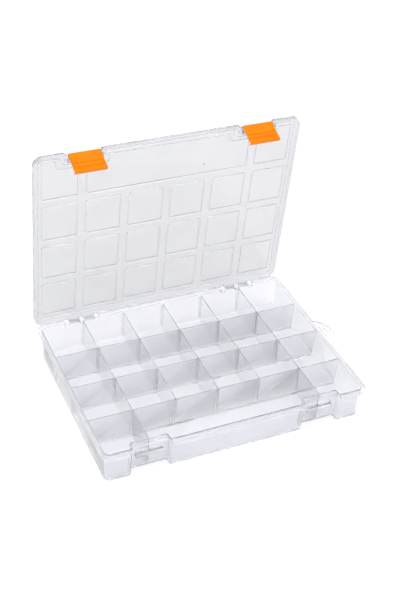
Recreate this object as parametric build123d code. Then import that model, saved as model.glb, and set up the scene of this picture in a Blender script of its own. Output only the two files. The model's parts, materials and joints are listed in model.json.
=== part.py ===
from build123d import *
from math import cos, radians, sin, tan
import os

# Compartment tray with a hinged lid, two snap latches and lift-out dividers, in millimetres.
# Origin: centre of the underside of the tray. X runs along the hinge, Y from front to back,
# Z up. The front edge of the rim is at -tray_depth / 2.

# ---- Driving dimensions ----
tray_width = 360.0  # over the rim
tray_depth = 270.0  # over the rim
tray_height = 44.0  # underside to rim top
columns = 6
rows = 4
wall = 1.5
floor_thick = 1.6
draft_angle = 2.0  # degrees, outer walls and cavity lean inwards towards the floor

side_flange = 5.5  # rim face, from the cavity to the rim's edge
end_flange = 8.0  # the same at the front and the back
rim_thick = 1.6
lip_height = 4.0  # down-turned edge of the rim
lip_thick = 1.4
corner_radius = 12.0
fold_radius = 3.0  # plan corners of the latch recesses

partition_thick = 1.4
partition_drop = 0.6  # below the rim top
foot_radius = 2.8  # rounding between the floor and the walls along X
slot_rib = 1.2  # width of each of the two ribs that hold a divider
slot_rib_reach = 1.6
slot_rib_drop = 3.0  # below the rim top

divider_thick = 1.2
divider_clear = 0.3  # all round a divider
divider_drop = 0.9  # below the rim top
divider_chamfer = 3.0
divider_top_radius = 1.0

latch_width = 41.6
recess_width = 46.0  # notch in the lid
recess_clear = 0.6  # the tray's recess is this much wider on each side
rim_recess = 11.4  # how far the rim and the lid step back at a latch
wall_recess = 10.0  # how far the wall steps back there

lid_gap = 0.4  # between the rim and the closed lid
lid_skirt = 6.6  # height of the lid's edge
lid_thick = 1.4
pad_depth = 1.2  # pads pressed inwards over the compartments
pad_margin = 5.0  # from the lines between the compartments
pad_edge_margin = 10.5  # from the lid's edge
pad_radius = 3.0
pad_wall = 1.2
bead_inset = 6.0  # stiffening bead under the lid, from the lid's edge
bead_width = 1.0
bead_height = 1.2
lid_open_angle = 85.0  # as stored

hinge_width = 48.0
hinge_drop = 4.0  # axis below the rim top
hinge_inset = 0.5  # axis in front of the rim's back edge
pin_radius = 1.6
pin_clear = 0.05
knuckle_radius = 3.3
lug_width = 6.0
clip_gap = 0.4  # between a clip and the lugs beside it
clip_mouth = 80.0  # degrees of the clip's opening
hinge_notch_clear = 0.6

latch_axis_inset = 4.2  # behind the front edge, with the lid closed
latch_axis_drop = 6.0  # below the lid's lower edge
latch_above = 8.9  # plate above the axis
latch_below = 22.0  # plate below the axis
latch_plate = 2.0
latch_lean = 16.5  # degrees, foot leaning in towards the tray, as stored
latch_end_radius = 0.8
barrel_radius = 2.7
peg_radius = 1.5
peg_clear = 0.05
peg_length = 2.6
ear_radius = 3.2
latch_side_clear = 0.4
hook_reach = 2.5
hook_drop = 19.3  # hook's top edge below the axis, along the plate
grip_reach = 1.2
grip_ridge = 0.5

catch_width = 36.0
catch_under = 21.9  # underside of the catch above the tray's underside
catch_nose = 2.0  # height of its front edge
catch_top = 30.0
catch_inset = 11.7  # its front edge behind the rim's front edge

tab_length = 56.0
tab_reach = 16.0
tab_centre = 127.5  # behind the front edge
tab_thick = 3.0
tab_strip = 6.5
tab_root = 2.5
tab_notch_radius = 2.6
tab_corner = 1.5

# ---- Derived sizes ----
front = -tray_depth / 2
back = tray_depth / 2
slope = tan(radians(draft_angle))
cavity_half = tray_width / 2 - side_flange
cavity_front = front + end_flange
cavity_back = back - end_flange
floor_shift = (tray_height - floor_thick) * slope
embed = 0.4  # how far added walls start inside the floor
column_pitch = 2 * cavity_half / columns
row_pitch = (cavity_back - cavity_front) / rows
latch_x = 2 * column_pitch
recess_half = recess_width / 2 + recess_clear
partition_top = tray_height - partition_drop
hinge_y = back - hinge_inset
hinge_z = tray_height - hinge_drop
lid_base = tray_height + lid_gap
lid_top = lid_base + lid_skirt
panel_under = lid_top - lid_thick
latch_y = front + latch_axis_inset
latch_z = lid_base - latch_axis_drop
divider_length = row_pitch - partition_thick / 2 - floor_shift - 2 * divider_clear
divider_bottom = floor_thick + divider_clear
divider_height = tray_height - divider_drop - divider_bottom
lid_turn = Axis((0, hinge_y, hinge_z), (1, 0, 0))


def column_line(i):
    """X of the line between column i and the next."""
    return (i - columns / 2) * column_pitch


def row_line(k):
    """Y of the line behind row k."""
    return cavity_front + k * row_pitch


def stepped_plan(half, y_front, y_back, step, step_half, radius):
    """A plan rectangle with rounded corners and a recess in its front edge at each latch."""
    plan = Pos(0, (y_front + y_back) / 2) * Rectangle(2 * half, y_back - y_front)
    for side in (-1, 1):
        plan -= Pos(side * latch_x, y_front + step / 2) * Rectangle(2 * step_half, step)
    outer = [v for v in plan.vertices() if abs(abs(v.X) - half) < 0.01]
    plan = fillet(outer, radius)
    folds = [v for v in plan.vertices() if abs(abs(abs(v.X) - latch_x) - step_half) < 0.01]
    return fillet(folds, fold_radius)


def wall_plan(z, grow):
    """Plan of the cavity at a height (grow = 0) or of the outside of its wall (grow = wall)."""
    lean = (tray_height - z) * slope
    shift = lean - grow
    plan = stepped_plan(
        cavity_half - shift,
        cavity_front + shift,
        cavity_back - shift,
        wall_recess,
        recess_half + wall - grow + lean,
        corner_radius - side_flange + grow,
    )
    return Pos(0, 0, z) * plan


def edge_plan(step_half):
    """Outer edge of the rim or the lid."""
    return stepped_plan(tray_width / 2, front, back, rim_recess, step_half, corner_radius)


def block(x0, x1, y0, y1, z0, z1):
    size = (x1 - x0, y1 - y0, z1 - z0)
    return Pos((x0 + x1) / 2, (y0 + y1) / 2, (z0 + z1) / 2) * Box(*size)


def along_x(profile, x0, x1):
    """A profile drawn in Y and Z, extruded from x0 to x1."""
    return extrude(Plane.YZ.offset(x0) * profile, x1 - x0)


def outline(*points):
    """Face with the given corners, always wound the same way."""
    pairs = zip(points, points[1:] + points[:1])
    area = sum(a[0] * b[1] - b[0] * a[1] for a, b in pairs)
    return Polygon(*(points if area > 0 else points[::-1]), align=None)


# ---- Tray ----
def tray_shell():
    """Drafted outer wall and floor, with the rim and its lip."""
    outer = loft([wall_plan(0, wall), wall_plan(tray_height, wall)], ruled=True)
    rim = edge_plan(recess_half)
    flange = Pos(0, 0, tray_height - rim_thick) * extrude(rim, rim_thick)
    lip_ring = rim - offset(rim, -lip_thick)
    lip = Pos(0, 0, tray_height - lip_height) * extrude(lip_ring, lip_height)
    cavity = loft([wall_plan(floor_thick, 0), wall_plan(tray_height, 0)], ruled=True)
    return outer + flange + lip - cavity


def foot_strip(y, direction, sink=0.0):
    """Rounding between the floor and a wall face at y; direction points away from the wall."""
    half = cavity_half - floor_shift + sink
    centre = 0.94 * foot_radius
    side = centre + sink
    middle = (centre - sink) / 2
    corner = Pos(y + direction * middle, floor_thick + middle) * Rectangle(side, side)
    round_off = Pos(y + direction * centre, floor_thick + centre) * Circle(foot_radius)
    return along_x(corner - round_off, -half, half)


def rib_pairs(face):
    """The two ribs of a divider slot at every column line, drawn from their side view."""
    ribs = []
    gap = divider_thick / 2 + divider_clear
    for i in range(1, columns):
        for side in (-1, 1):
            x = column_line(i) + side * (gap + slot_rib / 2)
            ribs.append(along_x(face, x - slot_rib / 2, x + slot_rib / 2))
    return ribs


def long_wall(k):
    """Full-width wall behind row k with its foot roundings and divider slots.
    Its ends stand flush against the leaning side walls."""
    low = cavity_half - floor_shift
    high = cavity_half - partition_drop * slope
    face = outline(
        (-low, floor_thick),
        (low, floor_thick),
        (high, partition_top),
        (-high, partition_top),
    )
    near = row_line(k) - partition_thick / 2
    far = row_line(k) + partition_thick / 2
    wall_plate = extrude(Plane.XZ.offset(-far) * face, partition_thick)
    added = [foot_strip(far, 1), foot_strip(near, -1)]
    top = tray_height - slot_rib_drop
    middle = row_line(k)
    for reach, used in ((far + slot_rib_reach, True), (near - slot_rib_reach, k > 1)):
        if used:
            rib = outline((middle, floor_thick), (reach, floor_thick), (reach, top), (middle, top))
            added += rib_pairs(rib)
    return wall_plate + added


def cross_wall(side):
    """Wall between an end compartment and the long one of the front row."""
    start = cavity_front + wall_recess
    end = row_line(1) - partition_thick / 2
    face = outline(
        (start + floor_shift, floor_thick),
        (end, floor_thick),
        (end, partition_top),
        (start + partition_drop * slope, partition_top),
    )
    x = side * latch_x
    plate = along_x(face, x - partition_thick / 2, x + partition_thick / 2)
    return plate - foot_strip(end, -1)


def back_slots():
    """Divider slots and foot rounding on the back wall."""
    top = tray_height - slot_rib_drop
    low = cavity_back - floor_shift
    rib = outline(
        (low - slot_rib_reach, floor_thick - embed),
        (low + wall / 2, floor_thick - embed),
        (cavity_back, top),
        (low - slot_rib_reach, top),
    )
    return rib_pairs(rib) + [foot_strip(low, -1, embed)]


def hinge_gap(side):
    """Room in the rim where the lid's clips turn."""
    half = hinge_width / 2 + hinge_notch_clear
    x = side * latch_x
    low = tray_height - lip_height - 1
    return block(x - half, x + half, cavity_back + wall, back + 1, low, tray_height + 1)


def hinge_lugs(side):
    """Three lugs and the moulded pin through them."""
    root = cavity_back + wall / 2
    web = Pos((hinge_y + root) / 2, hinge_z) * Rectangle(hinge_y - root, 2 * knuckle_radius)
    face = web + Pos(hinge_y, hinge_z) * Circle(knuckle_radius)
    parts = []
    for place in (-1, 0, 1):
        x = side * latch_x + place * (hinge_width - lug_width) / 2
        parts.append(along_x(face, x - lug_width / 2, x + lug_width / 2))
    pin = Pos(hinge_y, hinge_z) * Circle(pin_radius)
    reach = hinge_width / 2 - lug_width / 2
    parts.append(along_x(pin, side * latch_x - reach, side * latch_x + reach))
    return parts


def catch(side):
    """The rib in a recess that the latch hooks under."""
    root = cavity_front + wall_recess - wall / 2 + (tray_height - catch_under) * slope / 2
    edge = front + catch_inset
    face = outline(
        (root, catch_under),
        (edge, catch_under),
        (edge, catch_under + catch_nose),
        (root, catch_top),
    )
    x = side * latch_x
    return along_x(face, x - catch_width / 2, x + catch_width / 2)


def hang_tab():
    """D-shaped loop on the right of the rim, with a notch for a peg."""
    edge = tray_width / 2
    y = front + tab_centre
    bow = (tab_length**2 / 4 + tab_reach**2) / (2 * tab_reach)
    centre = edge + tab_reach - bow
    keep = Pos(edge + tab_reach / 2, y) * Rectangle(tab_reach, 2 * bow)
    solid = (Pos(centre, y) * Circle(bow)) & keep
    room = Pos(edge + tab_root + tab_reach / 2, y) * Rectangle(tab_reach, 2 * bow)
    hole = (Pos(centre, y) * Circle(bow - tab_strip)) & room
    hole = fillet(hole.vertices(), tab_corner)
    hole += Pos(centre + bow - tab_strip, y) * Circle(tab_notch_radius)
    return Pos(0, 0, tray_height - tab_thick) * extrude(solid - hole, tab_thick)


def base_tray():
    body = tray_shell()
    parts = back_slots()
    for side in (-1, 1):
        body -= hinge_gap(side)
        parts.append(catch(side))
        parts += hinge_lugs(side)
    return body + parts


# ---- Lid, drawn closed ----
def pad_plan(x0, x1, y0, y1):
    """Outline of a pad; at the front it steps back behind the latch notches."""
    plan = Pos((x0 + x1) / 2, (y0 + y1) / 2) * Rectangle(x1 - x0, y1 - y0)
    y_step = front + rim_recess + pad_edge_margin
    if y0 < y_step:
        half = recess_width / 2 + pad_edge_margin
        for side in (-1, 1):
            plan -= Pos(side * latch_x, y_step - half) * Rectangle(2 * half, 2 * half)
    return fillet(plan.vertices(), pad_radius)


def pad_plans():
    """One pad over each compartment."""
    pads = []
    y0 = front + pad_edge_margin
    y1 = row_line(1) - pad_margin
    for first, last in ((0, 1), (1, columns - 1), (columns - 1, columns)):
        pads.append(pad_plan(column_line(first) + pad_margin, column_line(last) - pad_margin, y0, y1))
    for k in range(1, rows):
        for i in range(columns):
            x0 = column_line(i) + pad_margin
            x1 = column_line(i + 1) - pad_margin
            pads.append(pad_plan(x0, x1, row_line(k) + pad_margin, row_line(k + 1) - pad_margin))
    return pads


def clip(x):
    """A clip that hangs from the lid's back edge and snaps over the hinge pin."""
    bays = 2
    width = (hinge_width - (bays + 1) * lug_width) / bays - 2 * clip_gap
    r = knuckle_radius
    web = outline(
        (hinge_y - 0.8 * r, hinge_z),
        (hinge_y + 0.8 * r, hinge_z),
        (back, lid_base + lid_skirt / 3),
        (back - 2.2, lid_base + lid_skirt / 3),
    )
    half = radians(clip_mouth / 2)
    reach = 2 * r
    mouth = outline(
        (hinge_y, hinge_z),
        (hinge_y - reach * sin(half), hinge_z - reach * cos(half)),
        (hinge_y + reach * sin(half), hinge_z - reach * cos(half)),
    )
    bore = Pos(hinge_y, hinge_z) * Circle(pin_radius + pin_clear)
    face = (Pos(hinge_y, hinge_z) * Circle(r)) + web - bore - mouth
    return along_x(face, x - width / 2, x + width / 2)


def ear(side, end):
    """An ear at one end of a notch, with the peg that a latch turns on."""
    x = side * latch_x
    inner = x + end * (latch_width / 2 + latch_side_clear)
    outer = x + end * recess_width / 2
    root = x + end * (recess_width / 2 + lip_thick)
    top = lid_base + lid_skirt * 0.75
    strap = Pos(latch_y, (latch_z + top) / 2) * Rectangle(2 * ear_radius, top - latch_z)
    face = strap + Pos(latch_y, latch_z) * Circle(ear_radius)
    part = along_x(face, min(inner, outer), max(inner, outer))
    y0 = latch_y - ear_radius / 3
    part += block(min(inner, root), max(inner, root), y0, latch_y + ear_radius, lid_base, top)
    tip = inner - end * peg_length
    peg = Pos(latch_y, latch_z) * Circle(peg_radius)
    start = (inner + outer) / 2
    return part + along_x(peg, min(tip, start), max(tip, start))


def lid():
    plan = edge_plan(recess_width / 2)
    skirt = Pos(0, 0, lid_base) * extrude(plan - offset(plan, -lip_thick), lid_skirt)
    panel = Pos(0, 0, panel_under) * extrude(plan, lid_thick)
    body = skirt + panel
    bead_plan = offset(plan, -bead_inset) - offset(plan, -bead_inset - bead_width)
    parts = [Pos(0, 0, panel_under - bead_height) * extrude(bead_plan, bead_height + lid_thick / 2)]
    sunk = []
    for pad in pad_plans():
        parts.append(Pos(0, 0, panel_under - pad_depth) * extrude(pad, pad_depth + lid_thick / 2))
        sunk.append(Pos(0, 0, lid_top - pad_depth) * extrude(offset(pad, -pad_wall), pad_depth + 1))
    for side in (-1, 1):
        parts += [ear(side, -1), ear(side, 1)]
        for place in (-1, 1):
            parts.append(clip(side * latch_x + place * (hinge_width - lug_width) / 4))
    return body + parts - sunk


# ---- Latch, drawn on the closed lid ----
def latch(side):
    """Snap latch: plate, barrel on the ears' pegs, hook at the foot and a lip to pull."""
    out = barrel_radius
    inner = out - latch_plate
    low = -latch_below
    plate = outline((inner, latch_above), (out, latch_above), (out, low), (inner, low))
    face = fillet(plate.vertices(), latch_end_radius)
    face += Circle(barrel_radius)
    hook = outline(
        (inner + latch_plate / 2, -hook_drop),
        (inner - hook_reach, -hook_drop),
        (inner - hook_reach, -hook_drop - 0.6),
        (inner + latch_plate / 2, low + 0.4),
    )
    lip = outline(
        (out - latch_plate / 2, low + 4.0),
        (out, low + 4.0),
        (out + grip_reach, low + 1.2),
        (out + grip_reach, low + 0.2),
        (out - latch_plate / 2, low + 0.2),
    )
    face += hook
    face += lip
    ridge_at = -(latch_below * 2 - latch_above) / 3
    face += Pos(out - grip_ridge / 2, ridge_at) * Circle(grip_ridge * 1.5)
    # First number runs outwards from the plate, second one up along it.
    turned = Plane(
        origin=(side * latch_x + latch_width / 2, latch_y, latch_z),
        x_dir=(0, -cos(radians(latch_lean)), -sin(radians(latch_lean))),
        z_dir=(-1, 0, 0),
    )
    body = extrude(turned * face, latch_width)
    turn = Pos(latch_y, latch_z) * Circle(peg_radius + peg_clear)
    half = latch_width / 2
    depth = peg_length - latch_side_clear + 0.4
    x = side * latch_x
    for end in (-1, 1):
        a = x + end * half
        b = x + end * (half - depth)
        body -= along_x(turn, min(a, b), max(a, b))
    return body


# ---- Dividers ----
def divider():
    """Lift-out wall, drawn with its foot at the origin."""
    half = divider_length / 2
    plate = Pos(0, divider_height / 2) * Rectangle(divider_length, divider_height)
    foot = [v for v in plate.vertices() if v.Y < 1]
    plate = chamfer(foot, divider_chamfer)
    head = [v for v in plate.vertices() if v.Y > divider_height - 1]
    plate = fillet(head, divider_top_radius)
    return along_x(plate, -divider_thick / 2, divider_thick / 2)


def divider_place(k, i):
    """Middle of a divider in row k on column line i."""
    near = row_line(k) + partition_thick / 2
    far = row_line(k + 1) - partition_thick / 2
    if k == rows - 1:
        far = row_line(rows) - floor_shift
    return Pos(column_line(i), (near + far) / 2, divider_bottom)


def opened(shape):
    """Turn a piece with the lid from closed to the stored position."""
    return shape.rotate(lid_turn, -lid_open_angle)


os.makedirs("parts", exist_ok=True)
export_step(base_tray(), "parts/base_tray.step")
export_step(hang_tab(), "parts/hang_tab.step")
for k in range(1, rows):
    export_step(long_wall(k), f"parts/long_wall_{k}.step")
for name, side in (("cross_wall_left", -1), ("cross_wall_right", 1)):
    export_step(cross_wall(side), f"parts/{name}.step")
export_step(opened(lid()), "parts/lid.step")
for name, side in (("latch_left", -1), ("latch_right", 1)):
    export_step(opened(latch(side)), f"parts/{name}.step")
for k in range(1, rows):
    for i in range(1, columns):
        export_step(divider_place(k, i) * divider(), f"parts/divider_r{k + 1}_c{i}.step")
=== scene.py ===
import bmesh
import bpy
import json
from math import cos, pi, radians, sin
from mathutils import Matrix, Vector
from mathutils.bvhtree import BVHTree


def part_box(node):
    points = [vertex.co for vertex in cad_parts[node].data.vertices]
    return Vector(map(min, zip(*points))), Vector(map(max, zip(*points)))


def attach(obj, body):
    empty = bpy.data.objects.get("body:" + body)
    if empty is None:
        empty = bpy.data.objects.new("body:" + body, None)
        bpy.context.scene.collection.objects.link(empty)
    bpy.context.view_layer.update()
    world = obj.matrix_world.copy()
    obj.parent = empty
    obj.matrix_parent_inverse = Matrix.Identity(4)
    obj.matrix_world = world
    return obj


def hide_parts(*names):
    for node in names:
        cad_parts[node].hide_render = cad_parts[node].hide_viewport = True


bl_info = {
    "name": "Compartment tray",
    "version": (1, 0, 0),
    "blender": (4, 5, 0),
    "location": "3D View > Sidebar > Tray",
    "description": "A clear compartment tray with a hinged lid, orange latches and lift-out dividers",
    "category": "Object",
}

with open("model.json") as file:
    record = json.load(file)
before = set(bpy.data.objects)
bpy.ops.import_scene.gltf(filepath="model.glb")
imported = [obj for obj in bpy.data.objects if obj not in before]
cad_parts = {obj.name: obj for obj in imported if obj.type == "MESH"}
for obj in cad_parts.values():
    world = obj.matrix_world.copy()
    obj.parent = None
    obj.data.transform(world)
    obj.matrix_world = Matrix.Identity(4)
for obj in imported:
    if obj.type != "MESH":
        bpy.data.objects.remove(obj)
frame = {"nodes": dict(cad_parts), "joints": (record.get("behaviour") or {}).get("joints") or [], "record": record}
NODES = frame["nodes"]
BODY_OF = {n: b for b, ns in frame["record"]["behaviour"]["bodies"].items() for n in ns}
JOINTS = {j["name"]: j for j in frame["joints"]}
DIVIDERS = sorted(n for n in NODES if n.startswith("divider_"))
HINGE = Vector(JOINTS["lid_hinge"]["pos_m"])
OPEN_ANGLE = -radians(JOINTS["lid_hinge"]["range_deg"][0])
TRAY_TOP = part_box("base_tray")[1].z
MM = 0.001

# From the closed lid's position to the stored one.
LID_TURN = Matrix.Translation(HINGE) @ Matrix.Rotation(-OPEN_ANGLE, 4, "X") @ Matrix.Translation(-HINGE)

# Latch, in millimetres from its pivot.
PLATE_LEAN = radians(16.5)
BARREL_RADIUS = 2.7
BARREL_PLAY = 0.4
BORE_RIM = 1.15
BORE_DEPTH = 2.6
CHEEK_THICK = 1.5
LATCH_EDGE = 0.0003

# Stage. The floor clears the tray's underside, so that the two faces don't coincide.
FLOOR_HALF = 6.0
FLOOR_GAP = 0.4
AIM = (52.3, 113.7, 44.0)
LAMPS = (
    ("key", (-0.9, -0.7, 1.7), (0.0, 0.05, 0.05), 1.3, 9),
    ("fill", (1.5, -0.9, 1.3), (0.0, 0.05, 0.05), 1.4, 4.5),
    ("back", (0.3, 1.7, 1.9), (0.0, 0.10, 0.10), 1.5, 6.5),
)
WORLD_STRENGTH = 1.0
CLEAR_BOUNCES = 36
GLOSS_BOUNCES = 24
DIFFUSE_BOUNCES = 8


# ---- Sizes and colours ----
class TrayFinish(bpy.types.PropertyGroup):
    plastic: bpy.props.FloatVectorProperty(
        name="Clear plastic",
        description="Body colour of the clear plastic",
        subtype="COLOR",
        size=4,
        min=0,
        max=1,
        default=(0.952, 0.956, 0.985, 1),
    )
    clearness: bpy.props.FloatProperty(
        name="Clearness",
        description="How much light passes through the clear plastic",
        min=0,
        max=1,
        default=1.0,
        subtype="FACTOR",
    )
    latch: bpy.props.FloatVectorProperty(
        name="Latch",
        description="Colour of the latches",
        subtype="COLOR",
        size=4,
        min=0,
        max=1,
        default=(0.92, 0.245, 0.0, 1),
    )
    edge_round: bpy.props.FloatProperty(
        name="Edge rounding",
        description="Rounding of the moulded edges",
        min=0,
        max=0.001,
        default=0.00028,
        unit="LENGTH",
    )


class TrayStage(bpy.types.PropertyGroup):
    floor: bpy.props.FloatVectorProperty(
        name="Floor",
        description="Colour of the floor",
        subtype="COLOR",
        size=4,
        min=0,
        max=1,
        default=(0.93, 0.93, 0.935, 1),
    )
    lens: bpy.props.FloatProperty(
        name="Lens",
        description="Focal length of the camera",
        min=10,
        max=300,
        default=67.48,
        unit="CAMERA",
    )
    distance: bpy.props.FloatProperty(
        name="Distance",
        description="From the camera to the point it looks at",
        min=0.1,
        max=10,
        default=1.5765,
        unit="LENGTH",
    )
    heading: bpy.props.FloatProperty(
        name="Heading",
        description="Turn of the camera about the upright axis, from straight towards the hinge",
        default=radians(26.05),
        subtype="ANGLE",
    )
    pitch: bpy.props.FloatProperty(
        name="Pitch",
        description="How far down the camera looks",
        default=radians(36.9),
        subtype="ANGLE",
    )
    roll: bpy.props.FloatProperty(
        name="Roll",
        description="Turn of the camera about its line of sight",
        default=radians(-4.11),
        subtype="ANGLE",
    )


# ---- Shader maths ----
class Value:
    """A shader socket that can be added, multiplied and so on."""

    def __init__(self, nodes, socket):
        self.nodes, self.socket = nodes, socket

    def _maths(self, operation, *others):
        return self.nodes.add("ShaderNodeMath", {"operation": operation}, *others)

    def __add__(self, other):
        return self._maths("ADD", self, other)

    def __sub__(self, other):
        return self._maths("SUBTRACT", self, other)

    def __rsub__(self, other):
        return self._maths("SUBTRACT", other, self)

    def __mul__(self, other):
        return self._maths("MULTIPLY", self, other)

    def clamp(self, low, high):
        raised = self._maths("MAXIMUM", self, low)
        return self._maths("MINIMUM", raised, high)

    __radd__ = __add__
    __rmul__ = __mul__


class Nodes:
    """Node tree of one material."""

    def __init__(self, name):
        self.material = bpy.data.materials.new(name)
        self.material.use_nodes = True
        self.tree = self.material.node_tree
        self.tree.nodes.clear()

    def add(self, kind, settings=None, *values, out=0, **named):
        node = self.tree.nodes.new(kind)
        for key, value in (settings or {}).items():
            if key == "stops":
                while len(node.color_ramp.elements) < len(value):
                    node.color_ramp.elements.new(0.5)
                for element, (place, shade) in zip(node.color_ramp.elements, value):
                    element.position = place
                    element.color = (shade, shade, shade, 1)
            else:
                setattr(node, key, value)
        pairs = list(zip(node.inputs, values))
        pairs += [(node.inputs[k.replace("_", " ")], v) for k, v in named.items()]
        for socket, value in pairs:
            if isinstance(value, Value):
                self.tree.links.new(value.socket, socket)
            elif value is not None:
                socket.default_value = value
        return Value(self, node.outputs[out]) if node.outputs else None

    def place(self):
        return self.add("ShaderNodeTexCoord", out=3)

    def noise(self, scale, detail=2.0, stretch=(1, 1, 1), rough=0.5):
        spot = self.add("ShaderNodeMapping", {}, Vector=self.place(), Scale=stretch)
        return self.add("ShaderNodeTexNoise", {}, Vector=spot, Scale=scale, Detail=detail, Roughness=rough)

    def ramp(self, value, *stops):
        return self.add("ShaderNodeValToRGB", {"stops": stops}, value)

    def mix(self, factor, a, b):
        node = self.tree.nodes.new("ShaderNodeMix")
        node.data_type = "RGBA"
        for socket, value in ((node.inputs[0], factor), (node.inputs[6], a), (node.inputs[7], b)):
            if isinstance(value, Value):
                self.tree.links.new(value.socket, socket)
            else:
                socket.default_value = value
        return Value(self, node.outputs[2])

    def bump(self, height, strength, distance):
        return self.add("ShaderNodeBump", {}, Strength=strength, Distance=distance, Height=height)

    def finish(self, **sockets):
        shader = self.add("ShaderNodeBsdfPrincipled", {}, **sockets)
        self.add("ShaderNodeOutputMaterial", {}, Surface=shader)
        return self.material


def clear_plastic(name, shade=1.0, clearness=0.9, bend=1.49, matt=0.12):
    """Milky clear moulded plastic with faint flow marks, haze and rubbed patches. Its colour is scaled by shade,
    which paints light and shade per piece: lighter or darker copies of the same plastic.
    """
    look = bpy.context.scene.tray_finish
    n = Nodes(name)
    flow = n.noise(9.0, 3.0, (1, 0.35, 1), 0.55)
    cloud = n.noise(38.0, 4.0, (1, 1, 1), 0.6)
    fine = n.noise(2600.0, 2.0)
    scuff = n.ramp(n.noise(160.0, 6.0, (1, 7, 1), 0.7), (0.60, 0), (0.74, 1))
    # Painted light and shade: the plastic colour is scaled by shade, so each piece is a lighter or darker copy of
    # one plastic.
    pale = tuple(min(1.0, shade * v) for v in look.plastic[:3])
    deep = tuple(0.965 * v for v in pale)
    colour = n.mix(n.ramp(flow * 0.6 + cloud * 0.4, (0.36, 0), (0.64, 1)), (*deep, 1), (*pale, 1))
    gloss = (flow - 0.5) * 0.06 + scuff * 0.02 + matt
    skin = flow * 0.6 + fine * 0.04
    return n.finish(
        Base_Color=colour,
        Roughness=gloss.clamp(0.05, 0.7),
        IOR=bend,
        Transmission_Weight=clearness * look.clearness,
        Normal=n.bump(skin, 0.03, 0.0006),
    )


def latch_plastic(name):
    """Bright opaque orange plastic with a fine moulded grain."""
    look = bpy.context.scene.tray_finish
    n = Nodes(name)
    cloud = n.noise(55.0, 4.0, (1, 1, 1), 0.6)
    grain = n.noise(3800.0, 2.0)
    wear = n.ramp(n.noise(300.0, 5.0, (6, 1, 1), 0.7), (0.62, 0), (0.78, 1))
    full = look.latch[:3]
    deep = tuple(0.86 * v for v in full)
    colour = n.mix(n.ramp(cloud, (0.35, 0), (0.65, 1)), (*deep, 1), (*full, 1))
    gloss = (cloud - 0.5) * 0.10 + wear * 0.14 + 0.33
    return n.finish(
        Base_Color=colour,
        Roughness=gloss.clamp(0.15, 0.7),
        IOR=1.46,
        Specular_IOR_Level=0.12,
        Subsurface_Weight=0.08,
        Subsurface_Radius=(0.004, 0.0015, 0.0004),
        Normal=n.bump(grain * 0.6 + cloud * 0.4, 0.12, 0.0003),
    )


def floor_paint(name):
    look = bpy.context.scene.tray_stage
    n = Nodes(name)
    cloud = n.noise(3.0, 2.0)
    pale = look.floor[:3]
    dim = tuple(0.985 * v for v in pale)
    return n.finish(
        Base_Color=n.mix(cloud, (*dim, 1), (*pale, 1)),
        Roughness=0.85,
        Specular_IOR_Level=0.2,
    )


def material(name, make, **facts):
    """The material of that name, made the first time it is asked for."""
    return bpy.data.materials.get(name) or make(name, **facts)


# ---- Mesh helpers ----
def piece(name, bm, finish, body, slot, smooth=35.0):
    """Make an object of a bmesh, give it its finish and let it ride on its body."""
    mesh = bpy.data.meshes.new(name)
    bm.to_mesh(mesh)
    bm.free()
    obj = bpy.data.objects.new(name, mesh)
    bpy.context.scene.collection.objects.link(obj)
    mesh.materials.append(finish)
    mesh.shade_smooth()
    mesh.set_sharp_from_angle(angle=radians(smooth))
    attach(obj, body)
    obj.visible_shadow = slot != "clear_plastic"
    return obj


def soften(obj, width, segments=2):
    """Small roundings on the edges of a piece."""
    edge = obj.modifiers.new("Edges", "BEVEL")
    edge.width = width
    edge.segments = segments
    edge.limit_method = "ANGLE"
    edge.angle_limit = radians(40)
    edge.use_clamp_overlap = True
    return obj


def merged_mesh(node):
    """A copy of a node's mesh whose triangles are joined and whose flat faces are whole."""
    bm = bmesh.new()
    bm.from_mesh(NODES[node].data)
    bmesh.ops.remove_doubles(bm, verts=bm.verts, dist=2e-6)
    bmesh.ops.dissolve_limit(
        bm,
        angle_limit=radians(1.0),
        verts=bm.verts,
        edges=bm.edges,
        delimit={"NORMAL"},
    )
    return bm


def fused(nodes):
    """One moulding out of several nodes that stand flush against each other."""
    helpers = []
    for node in nodes:
        mesh = bpy.data.meshes.new(node + "_copy")
        bm = merged_mesh(node)
        bm.to_mesh(mesh)
        bm.free()
        helper = bpy.data.objects.new(node + "_copy", mesh)
        bpy.context.scene.collection.objects.link(helper)
        helpers.append(helper)
    for other in helpers[1:]:
        join = helpers[0].modifiers.new(other.name, "BOOLEAN")
        join.operation, join.solver, join.object = "UNION", "EXACT", other
    graph = bpy.context.evaluated_depsgraph_get()
    whole = bpy.data.meshes.new_from_object(helpers[0].evaluated_get(graph))
    bm = bmesh.new()
    bm.from_mesh(whole)
    for helper in helpers:
        mesh = helper.data
        bpy.data.objects.remove(helper)
        bpy.data.meshes.remove(mesh)
    bpy.data.meshes.remove(whole)
    return bm


def moulding(name, nodes, finish, width):
    """The clear moulding that some nodes make up, with small rounded edges."""
    bm = fused(nodes) if len(nodes) > 1 else merged_mesh(nodes[0])
    obj = piece(name, bm, finish, BODY_OF[nodes[0]], "clear_plastic")
    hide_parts(*nodes)
    return soften(obj, width)


# ---- Pieces ----
class TRAY_OT_tray(bpy.types.Operator):
    """Tray moulding with its walls, rim, hinge lugs and hang tab"""

    bl_idname = "tray.tray"
    bl_label = "Tray"

    def execute(self, context):
        finish = material(
            "tray_clear", clear_plastic, shade=0.985, clearness=0.94, bend=1.33, matt=0.18
        )
        width = context.scene.tray_finish.edge_round
        fixed = sorted(n for n in NODES if BODY_OF[n] == "tray" and n != "base_tray")
        moulding("tray_moulding", ["base_tray", *fixed], finish, width)
        return {"FINISHED"}


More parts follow.
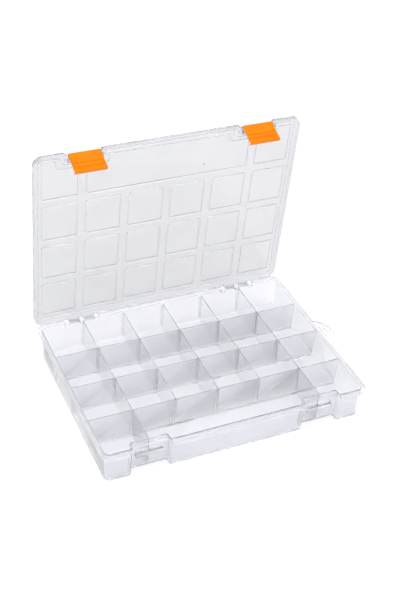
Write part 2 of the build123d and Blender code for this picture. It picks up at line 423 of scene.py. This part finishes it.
class TRAY_OT_lid(bpy.types.Operator):
    """Lid moulding with its pressed pads, clips and latch ears"""

    bl_idname = "tray.lid"
    bl_label = "Lid"

    def execute(self, context):
        # Painted shade: the lid is a darker copy of the same clear plastic (shade 0.82).
        finish = material(
            "lid_clear", clear_plastic, shade=0.82, clearness=0.93, bend=1.47, matt=0.14
        )
        width = context.scene.tray_finish.edge_round
        moulding("lid_moulding", ["lid"], finish, width)
        return {"FINISHED"}


class TRAY_OT_dividers(bpy.types.Operator):
    """Lift-out dividers in the three rear rows"""

    bl_idname = "tray.dividers"
    bl_label = "Dividers"

    def execute(self, context):
        # Painted light: the dividers are a paler copy of the same clear plastic (shade 1.04).
        finish = material(
            "divider_clear", clear_plastic, shade=1.04, clearness=0.985, bend=1.27, matt=0.12
        )
        width = context.scene.tray_finish.edge_round
        for node in DIVIDERS:
            moulding(node + "_plate", [node], finish, width)
        return {"FINISHED"}


class TRAY_OT_latches(bpy.types.Operator):
    """The two orange snap latches"""

    bl_idname = "tray.latches"
    bl_label = "Latches"

    def execute(self, context):
        finish = material("latch_orange", latch_plastic)
        for node in ("latch_left", "latch_right"):
            low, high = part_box(node)
            pivot = Vector(JOINTS[node + "_hinge"]["pos_m"])
            width = high.x - low.x
            bm = bmesh.new()
            self.plate(bm, width)
            self.cheeks(bm, width)
            self.barrel(bm, width)
            turn = Matrix.Rotation(PLATE_LEAN - OPEN_ANGLE, 4, "X")
            bm.transform(Matrix.Translation(pivot) @ turn)
            bmesh.ops.recalc_face_normals(bm, faces=bm.faces)
            obj = piece(node + "_clip", bm, finish, BODY_OF[node], "latch_plastic")
            soften(obj, LATCH_EDGE, 3)
            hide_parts(node)
        return {"FINISHED"}

    def plate(self, bm, width):
        """Plate with its groove, ridge, pull lip and hook, drawn in outwards and upwards steps."""
        outline = (
            (0.7, 8.9), (2.7, 8.9), (2.7, -6.6), (1.75, -7.2), (1.75, -8.0), (2.9, -8.8),
            (2.9, -12.4), (1.9, -13.2), (1.9, -14.2), (3.1, -15.2), (3.1, -16.4), (2.7, -17.2),
            (3.0, -18.6), (3.9, -19.4), (3.9, -20.1), (2.2, -20.6), (0.7, -21.2), (-1.8, -20.4),
            (-1.8, -19.3), (0.7, -19.3),
        )
        self.slab(bm, outline, -width / 2, width)

    def cheeks(self, bm, width):
        """Flange behind each end of the plate, above the barrel."""
        outline = ((0.9, 8.4), (0.9, 1.75), (-2.3, 1.75), (-2.3, 7.0), (-1.4, 8.4))
        thick = CHEEK_THICK * MM
        for start in (-width / 2, width / 2 - thick):
            self.slab(bm, outline, start, thick)

    def slab(self, bm, outline, start, length):
        """Outline of outwards and upwards steps, drawn out along the latch's width."""
        corners = [bm.verts.new((start, -out * MM, up * MM)) for out, up in outline]
        face = bm.faces.new(corners)
        grown = bmesh.ops.extrude_face_region(bm, geom=[face])["geom"]
        ends = [g for g in grown if isinstance(g, bmesh.types.BMVert)]
        bmesh.ops.translate(bm, verts=ends, vec=(length, 0, 0))

    def barrel(self, bm, width):
        """Turning barrel with a bore at each end for the lid's pegs."""
        made = bmesh.ops.create_cone(
            bm,
            cap_ends=True,
            segments=28,
            radius1=BARREL_RADIUS * MM,
            radius2=BARREL_RADIUS * MM,
            depth=width - BARREL_PLAY * MM,
            matrix=Matrix.Rotation(pi / 2, 4, "Y"),
        )
        own = set(made["verts"])
        caps = [f for f in bm.faces if len(f.verts) > 4 and own.issuperset(f.verts)]
        for cap in caps:
            inward = -cap.normal.copy()
            bmesh.ops.inset_region(bm, faces=[cap], thickness=BORE_RIM * MM)
            hole = bmesh.ops.extrude_discrete_faces(bm, faces=[cap])["faces"]
            bmesh.ops.translate(bm, verts=list(hole[0].verts), vec=inward * BORE_DEPTH * MM)


class TRAY_OT_marks(bpy.types.Operator):
    """Gate nub and ejector ring on the inner face of the lid"""

    bl_idname = "tray.marks"
    bl_label = "Mould marks"

    def execute(self, context):
        finish = material("lid_clear", clear_plastic)
        bm = merged_mesh("lid")
        skin = BVHTree.FromBMesh(bm)
        bm.free()
        for name, x, y, shape in (
            ("gate_nub", 48.5, -84.2, self.nub),
            ("ejector_ring", 117.0, -4.2, self.ring),
        ):
            start = LID_TURN @ Vector((x * MM, y * MM, TRAY_TOP - 0.02))
            spot, normal, _, _ = skin.ray_cast(start, LID_TURN.to_3x3() @ Vector((0, 0, 1)))
            if spot is None:
                raise RuntimeError(name + " finds no lid")
            if normal.dot(start - spot) < 0:
                normal = -normal
            bm = bmesh.new()
            shape(bm)
            bmesh.ops.recalc_face_normals(bm, faces=bm.faces)
            facing = normal.to_track_quat("Z", "Y").to_matrix().to_4x4()
            bm.transform(Matrix.Translation(spot) @ facing)
            piece(name, bm, finish, BODY_OF["lid"], "clear_plastic")
        return {"FINISHED"}

    def nub(self, bm):
        bmesh.ops.create_cone(
            bm,
            cap_ends=True,
            segments=20,
            radius1=1.3 * MM,
            radius2=0.8 * MM,
            depth=0.7 * MM,
            matrix=Matrix.Translation((0, 0, 0.3 * MM)),
        )

    def ring(self, bm):
        bmesh.ops.create_circle(
            bm,
            segments=8,
            radius=0.25 * MM,
            matrix=Matrix.Translation((3.4 * MM, 0, 0)) @ Matrix.Rotation(pi / 2, 4, "X"),
        )
        bmesh.ops.spin(
            bm,
            geom=bm.edges[:],
            cent=(0, 0, 0),
            axis=(0, 0, 1),
            angle=2 * pi,
            steps=36,
            use_merge=True,
        )


class TRAY_OT_stage(bpy.types.Operator):
    """Floor, lights and camera"""

    bl_idname = "tray.stage"
    bl_label = "Stage"

    def execute(self, context):
        look = context.scene.tray_stage
        bm = bmesh.new()
        bmesh.ops.create_grid(bm, x_segments=1, y_segments=1, size=FLOOR_HALF)
        bmesh.ops.translate(bm, verts=bm.verts, vec=(0, 0, -FLOOR_GAP * MM))
        mesh = bpy.data.meshes.new("floor")
        bm.to_mesh(mesh)
        bm.free()
        mesh.materials.append(material("floor_paint", floor_paint))
        ground = bpy.data.objects.new("floor", mesh)
        context.scene.collection.objects.link(ground)

        aim = Vector(AIM) * MM
        yaw, pitch, roll = look.heading, look.pitch, look.roll
        sight = Vector((sin(yaw) * cos(pitch), cos(yaw) * cos(pitch), -sin(pitch)))
        right = Vector((cos(yaw), -sin(yaw), 0))
        up = right.cross(sight)
        x = right * cos(roll) - up * sin(roll)
        y = right * sin(roll) + up * cos(roll)
        data = bpy.data.cameras.new("camera")
        data.lens = look.lens
        data.clip_start, data.clip_end = 0.05, 50
        camera = bpy.data.objects.new("camera", data)
        place = Matrix((x, y, -sight)).transposed().to_4x4()
        place.translation = aim - sight * look.distance
        camera.matrix_world = place
        context.scene.collection.objects.link(camera)
        context.scene.camera = camera

        for lamp in LAMPS:
            self.lamp(*lamp)
        world = bpy.data.worlds.new("studio")
        world.use_nodes = True
        sky = world.node_tree.nodes["Background"]
        sky.inputs[0].default_value = (1, 1, 1, 1)
        sky.inputs[1].default_value = WORLD_STRENGTH
        context.scene.world = world
        context.scene.view_settings.view_transform = "Standard"
        paths = context.scene.cycles
        paths.max_bounces = CLEAR_BOUNCES
        paths.transmission_bounces = CLEAR_BOUNCES
        paths.transparent_max_bounces = CLEAR_BOUNCES
        paths.glossy_bounces = GLOSS_BOUNCES
        paths.diffuse_bounces = DIFFUSE_BOUNCES
        return {"FINISHED"}

    def lamp(self, name, where, towards, size, power):
        data = bpy.data.lights.new(name, "AREA")
        data.energy, data.size = power, size
        lamp = bpy.data.objects.new(name, data)
        lamp.location = where
        aim = Vector(towards) - Vector(where)
        lamp.rotation_euler = aim.to_track_quat("-Z", "Y").to_euler()
        bpy.context.scene.collection.objects.link(lamp)


class TRAY_PT_panel(bpy.types.Panel):
    """Sidebar panel with every step"""

    bl_idname = "TRAY_PT_panel"
    bl_label = "Compartment tray"
    bl_space_type = "VIEW_3D"
    bl_region_type = "UI"
    bl_category = "Tray"

    def draw(self, context):
        for group in (context.scene.tray_finish, context.scene.tray_stage):
            box = self.layout.box()
            for name in group.bl_rna.properties.keys():
                if name not in ("rna_type", "name"):
                    box.prop(group, name)
        for step in STEPS:
            self.layout.operator(step.bl_idname)


STEPS = (TRAY_OT_tray, TRAY_OT_lid, TRAY_OT_marks, TRAY_OT_dividers, TRAY_OT_latches, TRAY_OT_stage)
CLASSES = (TrayFinish, TrayStage, *STEPS, TRAY_PT_panel)


def register():
    for c in CLASSES:
        bpy.utils.register_class(c)
    bpy.types.Scene.tray_finish = bpy.props.PointerProperty(type=TrayFinish)
    bpy.types.Scene.tray_stage = bpy.props.PointerProperty(type=TrayStage)


def unregister():
    del bpy.types.Scene.tray_stage
    del bpy.types.Scene.tray_finish
    for c in reversed(CLASSES):
        bpy.utils.unregister_class(c)


def main():
    register()
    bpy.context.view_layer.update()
    for step in STEPS:
        area, name = step.bl_idname.split(".")
        getattr(getattr(bpy.ops, area), name)()


if __name__ == "__main__":
    main()
